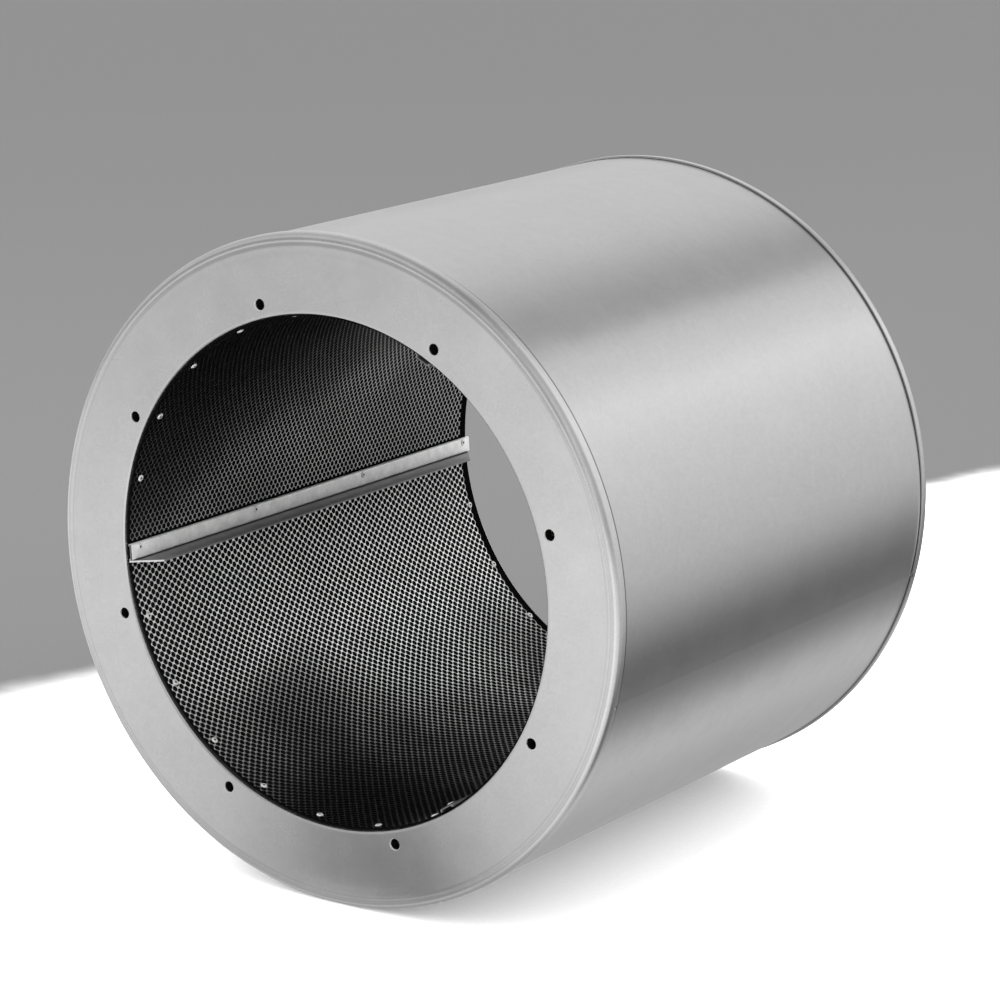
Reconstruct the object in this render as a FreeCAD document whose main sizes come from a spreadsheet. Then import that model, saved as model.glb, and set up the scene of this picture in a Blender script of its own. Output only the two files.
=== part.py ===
# Duct sound attenuator: a round, wool-packed silencer that bolts between two 400 mm fan or duct flanges.
# The row frame has its origin at the centre of the front face. The airway runs along +Y and +Z is up.
# Every sub-part is drawn in an axis frame of its own: z runs back from the front face, x points up and
# y points right, so an angle about z reads clockwise from the top, as seen from the front.
import FreeCAD, Part
import os
import Sketcher

doc = FreeCAD.newDocument("duct_sound_attenuator")

# Liner sheets and the cover channels over their first edges, clockwise from the left
sheet_names = ["upper", "right", "lower"]
seam_names = ["left", "top_right", "bottom_right"]

# Driving sizes, in millimetres and degrees
driving_sizes = [
    # Whole body
    ("bore_radius", "200"),
    ("flange_width", "62"),
    ("body_length", "466"),
    # End rings, spun from sheet
    ("ring_thickness", "1.5"),
    ("rim_depth", "10"),
    ("rim_corner_radius", "6"),
    ("collar_depth", "18"),
    ("bore_edge_chamfer", "1.5"),
    ("rim_notch_width", "3"),
    ("rim_notch_depth", "3"),
    # Bolt holes and the weld nuts behind them
    ("bolt_circle_offset", "11"),
    ("bolt_count", "8"),
    ("first_bolt_angle", "28.5"),
    ("bolt_hole_radius", "4.5"),
    ("nut_across_flats", "13"),
    ("nut_height", "6.5"),
    ("nut_thread_radius", "4"),
    # Casing, one sheet rolled round with its edges butted over an inner strip
    ("casing_thickness", "1.25"),
    ("casing_rim_clearance", "0.3"),
    ("casing_end_clearance", "0.3"),
    ("casing_seam_angle", "104"),
    ("casing_seam_gap", "0.3"),
    ("casing_strip_width", "25"),
    ("casing_strip_thickness", "1"),
    # Perforated liner, three rolled sheets that lap one another
    ("liner_seam_angle", "267"),
    ("liner_thickness", "0.8"),
    ("liner_collar_clearance", "0.15"),
    ("liner_end_gap", "4"),
    ("liner_edge_set", "2.5"),
    ("liner_edge_gap", "0.3"),
    ("joggle_length", "1.8"),
    ("lap_reach", "8"),
    ("sheet_clearance", "0.05"),
    # Cover channels over the liner seams
    ("channel_width", "13"),
    ("channel_depth", "3"),
    ("channel_thickness", "1.2"),
    ("channel_bend_radius", "1.6"),
    ("channel_end_gap", "2"),
    # Fin on the left channel
    ("fin_width", "24"),
    ("fin_thickness", "1.5"),
    ("fin_front_mitre", "14"),
    ("fin_rear_mitre", "30"),
    # Sound absorber behind the liner
    ("tissue_thickness", "0.5"),
    ("soft_clearance", "0.3"),
    ("wool_joint_gap", "1"),
]

# Sizes that follow from the driving ones
derived_sizes = [
    ("seam_pitch", f"360 / {len(sheet_names)}"),
    ("collar_radius", "sizes.bore_radius + sizes.ring_thickness"),
    ("bolt_circle_radius", "sizes.bore_radius + sizes.bolt_circle_offset"),
    ("rim_radius", "sizes.bore_radius + sizes.flange_width"),
    ("rim_inner_radius", "derived.rim_radius - sizes.ring_thickness"),
    ("inner_corner", "(sizes.rim_corner_radius - sizes.ring_thickness) * (2 - sqrt(2))"),
    ("casing_outer_radius", "derived.rim_inner_radius - sizes.casing_rim_clearance"),
    ("casing_inner_radius", "derived.casing_outer_radius - sizes.casing_thickness"),
    ("casing_start", "sizes.rim_corner_radius + sizes.casing_end_clearance"),
    ("strip_outer_radius", "derived.casing_inner_radius - sizes.sheet_clearance"),
    ("strip_inner_radius", "derived.strip_outer_radius - sizes.casing_strip_thickness"),
    ("lap_outer_radius", "sizes.bore_radius - sizes.liner_collar_clearance"),
    ("lap_inner_radius", "derived.lap_outer_radius - sizes.liner_thickness"),
    ("liner_outer_radius", "derived.lap_inner_radius - sizes.sheet_clearance"),
    ("liner_inner_radius", "derived.liner_outer_radius - sizes.liner_thickness"),
    ("liner_mm_to_degrees", "180 / (pi * derived.liner_inner_radius)"),
    ("joggle_set", "sizes.liner_edge_set + sizes.liner_edge_gap + sizes.joggle_length"),
    ("channel_seat", "sqrt(derived.liner_inner_radius^2 - (sizes.channel_width / 2)^2) - sizes.sheet_clearance"),
    ("channel_face", "derived.channel_seat - sizes.channel_depth"),
    ("fin_side", "sizes.channel_width / 2 + sizes.sheet_clearance"),
    ("fin_far_side", "derived.fin_side + sizes.fin_thickness"),
    ("fin_seat", "sqrt(derived.liner_inner_radius^2 - derived.fin_far_side^2) - sizes.sheet_clearance"),
    ("tissue_inner_radius", "derived.liner_outer_radius + sizes.sheet_clearance"),
    ("wool_inner_radius", "derived.lap_outer_radius + sizes.soft_clearance"),
    ("wool_outer_radius", "derived.strip_inner_radius - sizes.soft_clearance"),
    ("wool_start", "sizes.collar_depth + sizes.soft_clearance"),
]


def fill_sheet(name, rows, lead):
    sheet = doc.addObject("Spreadsheet::Sheet", name)
    for number, (alias, content) in enumerate(rows, start=1):
        sheet.set(f"A{number}", alias)
        sheet.set(f"B{number}", lead + content)
        sheet.setAlias(f"B{number}", alias)
    doc.recompute()
    return sheet


sizes = fill_sheet("sizes", driving_sizes, "")
derived = fill_sheet("derived", derived_sizes, "=")


def amount(expression):
    result = sizes.evalExpression(expression)
    return float(getattr(result, "Value", result))


# Placement that turns the axis frame into the row frame, after a turn about the airway axis
def axis_place(turn=0.0, back=0.0):
    stand = FreeCAD.Rotation(FreeCAD.Vector(1, 1, 1), -120)
    about_axis = FreeCAD.Rotation(FreeCAD.Vector(0, 0, 1), turn)
    frame = FreeCAD.Placement(FreeCAD.Vector(0, 0, 0), stand)
    return frame.multiply(FreeCAD.Placement(FreeCAD.Vector(0, 0, back), about_axis))


def new_body(label):
    body = doc.addObject("PartDesign::Body", label)
    body.Label = label
    return body


def origin_feature(body, role):
    return next(feature for feature in body.Origin.OriginFeatures if feature.Role == role)


# Empty sketch on one of the body's origin planes, turned about the airway axis by an angle expression
def new_sketch(body, name, role, turn=None, offset=None):
    sketch = body.newObject("Sketcher::SketchObject", name)
    sketch.AttachmentSupport = [(origin_feature(body, role), "")]
    sketch.MapMode = "FlatFace"
    if turn:
        swing = FreeCAD.Rotation(FreeCAD.Vector(0, 1, 0), amount(turn))
        sketch.AttachmentOffset = FreeCAD.Placement(FreeCAD.Vector(0, 0, 0), swing)
    if offset:
        sketch.setExpression(".AttachmentOffset.Base.z", offset)
    return sketch


# Closed outline through corners whose two coordinates are expressions
def polygon(sketch, corners):
    points = [FreeCAD.Vector(amount(across), amount(up), 0) for across, up in corners]
    for number, point in enumerate(points):
        sketch.addGeometry(Part.LineSegment(point, points[(number + 1) % len(points)]), False)
    for number, (across, up) in enumerate(corners):
        before = (number - 1) % len(corners)
        sketch.addConstraint(Sketcher.Constraint("Coincident", before, 2, number, 1))
        for kind, expression in (("DistanceX", across), ("DistanceY", up)):
            place = sketch.addConstraint(Sketcher.Constraint(kind, -1, 1, number, 1, amount(expression)))
            sketch.renameConstraint(place, f"{kind}{number}")
            sketch.setExpression(f"Constraints.{kind}{number}", expression)


def circles(sketch, centres, radius):
    for number, (across, up) in enumerate(centres):
        centre = FreeCAD.Vector(amount(across), amount(up), 0)
        sketch.addGeometry(Part.Circle(centre, FreeCAD.Vector(0, 0, 1), amount(radius)), False)
        for kind, expression in (("DistanceX", across), ("DistanceY", up)):
            place = sketch.addConstraint(Sketcher.Constraint(kind, -1, 1, number, 3, amount(expression)))
            sketch.renameConstraint(place, f"{kind}{number}")
            sketch.setExpression(f"Constraints.{kind}{number}", expression)
        place = sketch.addConstraint(Sketcher.Constraint("Radius", number, amount(radius)))
        sketch.renameConstraint(place, f"Radius{number}")
        sketch.setExpression(f"Constraints.Radius{number}", radius)


def revolve(body, name, sketch, angle):
    turned = body.newObject("PartDesign::Revolution", name)
    turned.Profile = sketch
    turned.ReferenceAxis = (sketch, ["V_Axis"])
    turned.setExpression("Angle", angle)
    return turned


def pad(body, name, sketch, length):
    raised = body.newObject("PartDesign::Pad", name)
    raised.Profile = sketch
    raised.setExpression("Length", length)
    return raised


# Cut that starts at the sketch and runs along its normal
def pocket_forward(body, name, sketch, length):
    cut = body.newObject("PartDesign::Pocket", name)
    cut.Profile = sketch
    cut.Reversed = True
    cut.setExpression("Length", length)
    return cut


def polar_pattern(body, name, feature, count, angle):
    pattern = body.newObject("PartDesign::PolarPattern", name)
    pattern.Originals = [feature]
    pattern.Axis = (origin_feature(body, "Z_Axis"), [""])
    pattern.setExpression("Occurrences", count)
    pattern.setExpression("Angle", angle)
    body.Tip = pattern
    return pattern


# Group of separate solids, one copy of a master shape for each placement
def repeat(label, shapes):
    group = doc.addObject("Part::Feature", label)
    group.Label = label
    group.Shape = Part.makeCompound(shapes)
    group.Placement = axis_place()
    return group


# Depth expression measured back from the front face, or forward from the rear face
def depth_from(end, expression):
    if end == "front":
        return expression
    return f"sizes.body_length - ({expression})"


# Corner rounded in a few equal chords, from the face of an end ring to its rim
def rounded_rim(end):
    chords = 3
    points = []
    for number in range(chords + 1):
        turn = f"{90 * number / chords}"
        across = f"derived.rim_radius - sizes.rim_corner_radius * (1 - sin({turn}))"
        points.append((across, depth_from(end, f"sizes.rim_corner_radius * (1 - cos({turn}))")))
    return points


# End ring: a flat annular face, a rounded outer corner with a rim over the casing, and an inner collar
def end_ring(label, end):
    body = new_body(label)
    profile = new_sketch(body, label + "_profile", "XZ_Plane")
    polygon(profile, [
        ("sizes.bore_radius", depth_from(end, "sizes.bore_edge_chamfer")),
        ("sizes.bore_radius + sizes.bore_edge_chamfer", depth_from(end, "0")),
        *rounded_rim(end),
        ("derived.rim_radius", depth_from(end, "sizes.rim_depth")),
        ("derived.rim_inner_radius", depth_from(end, "sizes.rim_depth")),
        ("derived.rim_inner_radius", depth_from(end, "sizes.ring_thickness + derived.inner_corner")),
        ("derived.rim_inner_radius - derived.inner_corner", depth_from(end, "sizes.ring_thickness")),
        ("derived.collar_radius", depth_from(end, "sizes.ring_thickness")),
        ("derived.collar_radius", depth_from(end, "sizes.collar_depth")),
        ("sizes.bore_radius", depth_from(end, "sizes.collar_depth")),
    ])
    revolve(body, label + "_shell", profile, "360")

    # Bolt holes through the face, cut along z from the outer plane of the ring
    bolt = new_sketch(body, label + "_bolt", "XY_Plane", offset=depth_from(end, "0"))
    first_bolt = ("derived.bolt_circle_radius * cos(sizes.first_bolt_angle)",
                  "derived.bolt_circle_radius * sin(sizes.first_bolt_angle)")
    circles(bolt, [first_bolt], "sizes.bolt_hole_radius")
    bolt_cut = pocket_forward(body, label + "_bolt_hole", bolt, "sizes.ring_thickness")
    bolt_cut.Reversed = end == "front"
    polar_pattern(body, label + "_bolt_holes", bolt_cut, "sizes.bolt_count", "360")

    # Notch in the rim's free edge, in line with the casing seam
    notch = new_sketch(body, label + "_notch", "YZ_Plane", turn="sizes.casing_seam_angle",
                       offset="derived.casing_inner_radius")
    polygon(notch, [
        ("-sizes.rim_notch_width / 2", depth_from(end, "sizes.rim_depth - sizes.rim_notch_depth")),
        ("sizes.rim_notch_width / 2", depth_from(end, "sizes.rim_depth - sizes.rim_notch_depth")),
        ("sizes.rim_notch_width / 2", depth_from(end, "sizes.rim_depth + sizes.ring_thickness")),
        ("-sizes.rim_notch_width / 2", depth_from(end, "sizes.rim_depth + sizes.ring_thickness")),
    ])
    pocket_forward(body, label + "_rim_notch", notch, "2 * sizes.ring_thickness + sizes.casing_thickness")
    body.Placement = axis_place()
    return body


# Rolled sheet: a rectangle in the radius and depth plane, turned through part of a circle
def rolled(body, name, inner, outer, start, finish, turn, angle):
    sketch = new_sketch(body, name + "_section", "XZ_Plane", turn=turn)
    polygon(sketch, [(inner, start), (outer, start), (outer, finish), (inner, finish)])
    return revolve(body, name, sketch, angle)


def casing_shell():
    body = new_body("casing_shell")
    rolled(body, "casing_sheet", "derived.casing_inner_radius", "derived.casing_outer_radius",
           "derived.casing_start", "sizes.body_length - derived.casing_start", None,
           "360 - sizes.casing_seam_gap / derived.casing_outer_radius * 180 / pi")
    half_gap = amount("sizes.casing_seam_gap / 2 / derived.casing_outer_radius * 180 / pi")
    body.Placement = axis_place(amount("sizes.casing_seam_angle") + half_gap)
    return body


# Strip welded inside the casing across its seam
def casing_seam_strip():
    body = new_body("casing_seam_strip")
    width_angle = "sizes.casing_strip_width / derived.strip_outer_radius * 180 / pi"
    rolled(body, "strip", "derived.strip_inner_radius", "derived.strip_outer_radius", "derived.casing_start",
           "sizes.body_length - derived.casing_start", None, width_angle)
    body.Placement = axis_place(amount("sizes.casing_seam_angle") - amount(width_angle) / 2)
    return body


# Liner sheet: one edge plain, the other joggled outward to lie behind the next sheet's plain edge
def liner_sheet(label, seam_number):
    body = new_body(label)
    front = "sizes.liner_end_gap"
    rear = "sizes.body_length - sizes.liner_end_gap"
    plain_edge = "-sizes.liner_edge_set * derived.liner_mm_to_degrees"
    joggle_start = "derived.seam_pitch - derived.joggle_set * derived.liner_mm_to_degrees"
    joggle_end = f"{joggle_start} + sizes.joggle_length * derived.liner_mm_to_degrees"
    lap_angle = ("(sizes.lap_reach + sizes.liner_edge_set + sizes.liner_edge_gap)"
                 " * derived.liner_mm_to_degrees")
    rolled(body, label + "_sheet", "derived.liner_inner_radius", "derived.liner_outer_radius", front, rear,
           plain_edge, f"{joggle_start} - ({plain_edge})")
    rolled(body, label + "_joggle", "derived.liner_inner_radius", "derived.lap_outer_radius", front, rear,
           joggle_start, "sizes.joggle_length * derived.liner_mm_to_degrees")
    rolled(body, label + "_lap", "derived.lap_inner_radius", "derived.lap_outer_radius", front, rear,
           joggle_end, lap_angle)
    body.Placement = axis_place(seam_angle(seam_number))
    return body


def seam_angle(number):
    return amount(f"sizes.liner_seam_angle + {number} * derived.seam_pitch")


# Cover channel: a shallow folded channel that stands open side down over a liner seam
def seam_channel(label, seam_number):
    body = new_body(label)
    half = "sizes.channel_width / 2"
    inner_half = "sizes.channel_width / 2 - sizes.channel_thickness"
    web = "derived.channel_face + sizes.channel_thickness"
    profile = new_sketch(body, label + "_profile", "XY_Plane", offset="sizes.channel_end_gap")
    polygon(profile, [
        ("derived.channel_face", "-(" + half + ")"), ("derived.channel_seat", "-(" + half + ")"),
        ("derived.channel_seat", "-(" + inner_half + ")"), (web, "-(" + inner_half + ")"),
        (web, inner_half), ("derived.channel_seat", inner_half),
        ("derived.channel_seat", half), ("derived.channel_face", half),
    ])
    fold = pad(body, label + "_fold", profile, "sizes.body_length - 2 * sizes.channel_end_gap")
    doc.recompute()
    corners = []
    for number, edge in enumerate(fold.Shape.Edges, start=1):
        middle = edge.CenterOfMass
        at_side = abs(abs(middle.y) - amount(half)) < 1e-4
        at_face = abs(middle.x - amount("derived.channel_face")) < 1e-4
        if at_side and at_face:
            corners.append(f"Edge{number}")
    bend = body.newObject("PartDesign::Fillet", label + "_bends")
    bend.Base = (fold, corners)
    bend.setExpression("Radius", "sizes.channel_bend_radius")
    body.Tip = bend
    body.Placement = axis_place(seam_angle(seam_number))
    return body


# Fin: a flat strip on edge beside the left channel, both ends cut back at a slant
def seam_fin():
    body = new_body("seam_fin")
    front = "sizes.channel_end_gap"
    rear = "sizes.body_length - sizes.channel_end_gap"
    tip = "derived.fin_seat - sizes.fin_width"
    outline = new_sketch(body, "fin_outline", "XZ_Plane", offset="derived.fin_side")
    polygon(outline, [
        ("derived.fin_seat", front), (tip, front + " + sizes.fin_front_mitre"),
        (tip, rear + " - sizes.fin_rear_mitre"), ("derived.fin_seat", rear),
    ])
    pad(body, "fin_plate", outline, "sizes.fin_thickness")
    body.Placement = axis_place(seam_angle(0))
    return body


# Black tissue on the back of one liner sheet, between the joggle and the previous sheet's lap
def tissue(label, seam_number):
    body = new_body(label)
    start = "(sizes.lap_reach + sizes.soft_clearance) * derived.liner_mm_to_degrees"
    finish = "derived.seam_pitch - (derived.joggle_set + sizes.soft_clearance) * derived.liner_mm_to_degrees"
    rolled(body, label + "_layer", "derived.tissue_inner_radius",
           "derived.tissue_inner_radius + sizes.tissue_thickness", "sizes.liner_end_gap",
           "sizes.body_length - sizes.liner_end_gap", start, f"{finish} - ({start})")
    body.Placement = axis_place(seam_angle(seam_number))
    return body


# Mineral wool batt between the two collars, joined to the next batt behind a liner seam
def wool_batt(label, seam_number):
    body = new_body(label)
    half_joint = "sizes.wool_joint_gap / 2 * derived.liner_mm_to_degrees"
    rolled(body, label + "_batt", "derived.wool_inner_radius", "derived.wool_outer_radius", "derived.wool_start",
           "sizes.body_length - derived.wool_start", half_joint, f"derived.seam_pitch - 2 * {half_joint}")
    body.Placement = axis_place(seam_angle(seam_number))
    return body


# Corners of a regular outline round the sketch's origin, which shows a flat toward x
def regular_outline(count, corner_radius):
    turns = [f"{(number + 0.5) * 360 / count}" for number in range(count)]
    return [(f"{corner_radius} * cos({turn})", f"{corner_radius} * sin({turn})") for turn in turns]


# Hexagon weld nut. Its bore has the thread's outer size across and is drawn with twelve flats.
def weld_nut():
    body = new_body("weld_nut")
    outline = new_sketch(body, "nut_outline", "XY_Plane")
    polygon(outline, regular_outline(6, "sizes.nut_across_flats / sqrt(3)"))
    pad(body, "nut_block", outline, "sizes.nut_height")
    bore = new_sketch(body, "nut_bore", "XY_Plane")
    polygon(bore, regular_outline(12, "sizes.nut_thread_radius"))
    pocket_forward(body, "nut_thread", bore, "sizes.nut_height")
    return body


# Copy of a master shape after a turn about the airway axis
def copy_at(master, move, turn):
    shape = master.Shape.copy()
    about_axis = FreeCAD.Placement(FreeCAD.Vector(0, 0, 0), FreeCAD.Rotation(FreeCAD.Vector(0, 0, 1), turn))
    shape.Placement = about_axis.multiply(FreeCAD.Placement(move, FreeCAD.Rotation())).multiply(shape.Placement)
    return shape


def nut_group(label, depth, master):
    radius = amount("derived.bolt_circle_radius")
    count = int(amount("sizes.bolt_count"))
    angles = [amount("sizes.first_bolt_angle") + number * 360 / count for number in range(count)]
    return repeat(label, [copy_at(master, FreeCAD.Vector(radius, 0, depth), angle) for angle in angles])


parts = [
    end_ring("front_end_ring", "front"),
    end_ring("rear_end_ring", "rear"),
    casing_shell(),
    casing_seam_strip(),
]
for seam_number, (sheet_name, seam_name) in enumerate(zip(sheet_names, seam_names)):
    parts.append(liner_sheet("liner_sheet_" + sheet_name, seam_number))
    parts.append(tissue("tissue_" + sheet_name, seam_number))
    parts.append(wool_batt("wool_batt_" + sheet_name, seam_number))
    parts.append(seam_channel("seam_channel_" + seam_name, seam_number))
parts.append(seam_fin())

nut = weld_nut()
doc.recompute()
nut_seat = amount("sizes.ring_thickness")
parts.append(nut_group("front_weld_nuts", nut_seat, nut))
parts.append(nut_group("rear_weld_nuts", amount("sizes.body_length - sizes.nut_height") - nut_seat, nut))
doc.recompute()

for item in doc.Objects:
    if "Invalid" in item.State or "Error" in item.State:
        raise RuntimeError(f"{item.Label} failed to build: {item.State}")
for item in parts:
    if item.Shape.isNull() or not item.Shape.isValid():
        raise RuntimeError(f"{item.Label} has no valid shape")

os.makedirs("parts", exist_ok=True)
for item in parts:
    item.Shape.exportStep(f"parts/{item.Label}.step")
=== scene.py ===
# Duct sound attenuator: galvanised end rings and casing round a perforated airway, on a white studio floor
import math

import bmesh
import bpy
from mathutils import Matrix, Vector


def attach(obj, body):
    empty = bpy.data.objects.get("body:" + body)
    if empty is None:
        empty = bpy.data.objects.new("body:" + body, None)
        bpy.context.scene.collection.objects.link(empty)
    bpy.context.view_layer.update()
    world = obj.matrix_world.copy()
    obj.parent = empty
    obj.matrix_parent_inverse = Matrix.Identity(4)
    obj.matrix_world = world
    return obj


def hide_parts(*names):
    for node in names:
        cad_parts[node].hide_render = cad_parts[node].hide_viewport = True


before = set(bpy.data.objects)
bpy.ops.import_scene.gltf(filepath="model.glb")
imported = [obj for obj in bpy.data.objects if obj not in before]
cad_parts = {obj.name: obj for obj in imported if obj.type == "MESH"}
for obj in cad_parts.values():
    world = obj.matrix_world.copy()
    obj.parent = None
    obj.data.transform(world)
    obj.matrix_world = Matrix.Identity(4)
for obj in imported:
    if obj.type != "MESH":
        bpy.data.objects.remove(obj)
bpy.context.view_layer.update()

mm = 0.001
weld = 0.01 * mm  # points closer than this become one
hair = 0.001 * mm  # slack for picking points by their place
axisLine = (0, 1, 0)  # the airway's axis; angles run clockwise from the top, seen from the front

body = {
    "length": 466 * mm,
    "boreRadius": 200 * mm,
    "rimRadius": 262 * mm,
    "seams": {"left": 267, "top_right": 27, "bottom_right": 147},
    "casingSeam": 104,
}
scene = bpy.context.scene


# Mesh helpers

def turn(angle, axis="Y"):
    return Matrix.Rotation(math.radians(angle), 4, axis)


def turnVerts(bm, verts, angle, axis="Y"):
    bmesh.ops.rotate(bm, verts=verts, cent=(0, 0, 0), matrix=turn(angle, axis))


def pick(items, kind):
    return [item for item in items if isinstance(item, kind)]


def wholeMesh(bm):
    return [*bm.verts, *bm.edges, *bm.faces]


# Faces with all their edges and corners
def withParts(faces):
    edges = dict.fromkeys(edge for face in faces for edge in face.edges)
    verts = dict.fromkeys(vert for face in faces for vert in face.verts)
    return [*verts, *edges, *faces]


def onCircle(radius, angle, along):
    swing = math.radians(angle)
    return Vector((radius * math.sin(swing), along, radius * math.cos(swing)))


# Marks edges sharp past a bend angle, smooths the rest and turns the mesh into a piece of the model
def finishPiece(name, bm, finishes, stands=(), sharpAngle=28, doubles=0.004 * mm, outward=True):
    bmesh.ops.remove_doubles(bm, verts=bm.verts, dist=doubles)
    if outward:
        bmesh.ops.recalc_face_normals(bm, faces=bm.faces)
    limit = math.radians(sharpAngle)
    for edge in bm.edges:
        edge.smooth = len(edge.link_faces) == 2 and edge.calc_face_angle(0.0) < limit
    for face in bm.faces:
        face.smooth = True
    mesh = bpy.data.meshes.new(name)
    bm.to_mesh(mesh)
    bm.free()
    piece = bpy.data.objects.new(name, mesh)
    scene.collection.objects.link(piece)
    for finish in finishes:
        mesh.materials.append(finish)
    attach(piece, "root")
    if stands:
        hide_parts(*stands)
    return piece


# Chain of edges through (radius, along) points, standing at the top of the part
def chain(bm, points, closed=False):
    verts = [bm.verts.new((0, along, radius)) for radius, along in points]
    edges = [bm.edges.new(pair) for pair in zip(verts, verts[1:])]
    if closed:
        edges.append(bm.edges.new((verts[-1], verts[0])))
    return verts, edges


def spinAll(bm, geom, angle, steps, full=False, axis=axisLine):
    return bmesh.ops.spin(bm, geom=geom, cent=(0, 0, 0), axis=axis, dvec=(0, 0, 0), angle=math.radians(angle),
                          steps=steps, use_merge=full, use_normal_flip=False, use_duplicate=False)


# Small turned part on an upright axis, from (radius, height) points
def lathe(bm, points, steps):
    line = [bm.verts.new((radius, 0, height)) for radius, height in points]
    edges = [bm.edges.new(pair) for pair in zip(line, line[1:])]
    spinAll(bm, line + edges, 360, steps, full=True, axis=(0, 0, 1))


# Flat outline pushed along a vector into a solid
def plate(bm, corners, push):
    face = bm.faces.new([bm.verts.new(corner) for corner in corners])
    made = bmesh.ops.extrude_face_region(bm, geom=[face])
    bmesh.ops.translate(bm, vec=push, verts=pick(made["geom"], bmesh.types.BMVert))


def roundEdges(bm, edges, radius, segments):
    bmesh.ops.bevel(bm, geom=edges, offset=radius, offset_type="OFFSET", affect="EDGES", segments=segments,
                    profile=0.5, material=-1)


# Closed section swept round part of the circle, with both ends capped
def sweptStrip(bm, section, start, sweep, steps):
    verts, edges = chain(bm, section, closed=True)
    turnVerts(bm, verts, start)
    bm.faces.new(verts)
    swept = spinAll(bm, verts + edges, sweep, steps)
    bmesh.ops.contextual_create(bm, geom=pick(swept["geom_last"], bmesh.types.BMEdge))


# Ring of edges across the airway's direction, round a centre (x, z)
def circleLoop(bm, radius, along, segments, centre):
    place = Matrix.Translation((centre[0], along, centre[1])) @ turn(90, "X")
    made = bmesh.ops.create_circle(bm, cap_ends=False, radius=radius, segments=segments, matrix=place)
    return list(dict.fromkeys(edge for vert in made["verts"] for edge in vert.link_edges))


# Materials

def newMaterial(name):
    material = bpy.data.materials.new(name)
    material.use_nodes = True
    tree = material.node_tree
    return material, tree, tree.nodes["Principled BSDF"]


def addNode(tree, kind, **settings):
    node = tree.nodes.new(kind)
    for key, value in settings.items():
        if hasattr(node, key):
            setattr(node, key, value)
        else:
            node.inputs[key].default_value = value
    return node


def noise(tree, coordinates, scale, detail=3.0, roughness=0.55, stretch=None):
    source = coordinates
    if stretch:
        mapping = addNode(tree, "ShaderNodeMapping", Scale=stretch)
        tree.links.new(coordinates, mapping.inputs["Vector"])
        source = mapping.outputs["Vector"]
    texture = addNode(tree, "ShaderNodeTexNoise", Scale=scale, Detail=detail, Roughness=roughness)
    tree.links.new(source, texture.inputs["Vector"])
    return texture.outputs["Fac"]


# Carries a value from one range over to another
def rescale(tree, value, source, target, curve="LINEAR"):
    node = addNode(tree, "ShaderNodeMapRange", interpolation_type=curve)
    for socket, number in zip(("From Min", "From Max", "To Min", "To Max"), (*source, *target)):
        node.inputs[socket].default_value = number
    tree.links.new(value, node.inputs["Value"])
    return node.outputs["Result"]


# Noise lies mostly in its middle half, which is spread over the whole range here
def remap(tree, value, low, high):
    return rescale(tree, value, (0.25, 0.75), (low, high))


def maths(tree, operation, first, second=0.0):
    node = addNode(tree, "ShaderNodeMath", operation=operation)
    for socket, value in zip(node.inputs, (first, second)):
        if isinstance(value, (int, float)):
            socket.default_value = value
        else:
            tree.links.new(value, socket)
    return node.outputs["Value"]


def separate(tree, place):
    parts = addNode(tree, "ShaderNodeSeparateXYZ")
    tree.links.new(place, parts.inputs["Vector"])
    return parts.outputs


def redOf(tree, colour):
    parts = addNode(tree, "ShaderNodeSeparateColor")
    tree.links.new(colour, parts.inputs["Color"])
    return parts.outputs["Red"]


def distanceTo(tree, place, centre):
    far = addNode(tree, "ShaderNodeVectorMath", operation="DISTANCE")
    far.inputs[1].default_value = centre
    tree.links.new(place, far.inputs[0])
    return far.outputs["Value"]


# Ramp of grey levels at (position, level) stops, for a value that runs from low to high
def greyRamp(tree, value, levels, low, high):
    share = maths(tree, "DIVIDE", maths(tree, "SUBTRACT", value, low), high - low)
    ramp = addNode(tree, "ShaderNodeValToRGB")
    stops = ramp.color_ramp.elements
    while len(stops) < len(levels):
        stops.new(0.5)
    for stop, (at, level) in zip(stops, levels):
        stop.position = (at - low) / (high - low)
        stop.color = (level, level, level, 1)
    tree.links.new(share, ramp.inputs["Fac"])
    return ramp.outputs["Color"]


def addBump(tree, shader, height, strength, distance):
    bump = addNode(tree, "ShaderNodeBump", Strength=strength, Distance=distance)
    tree.links.new(height, bump.inputs["Height"])
    tree.links.new(bump.outputs["Normal"], shader.inputs["Normal"])


def grey(tree, value):
    node = addNode(tree, "ShaderNodeCombineColor")
    for socket in node.inputs:
        tree.links.new(value, socket)
    return node.outputs["Color"]


# How far a point is back from the front face, or out from the axis
def placeAlong(tree, place, direction):
    spot = separate(tree, place)
    if direction == "back":
        return spot["Y"]
    squares = [maths(tree, "MULTIPLY", spot[name], spot[name]) for name in ("X", "Z")]
    return maths(tree, "SQRT", maths(tree, "ADD", *squares))


# Line painted round the part: painted shade in a joint, beside a bead or under another part, or a painted highlight
# where keep is over one
def paintedLightLine(tree, place, direction, at, reach, keep):
    away = maths(tree, "ABSOLUTE", maths(tree, "SUBTRACT", placeAlong(tree, place, direction), at))
    return rescale(tree, away, (reach * 0.4, reach), (keep, 1.0), "SMOOTHSTEP")
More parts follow.
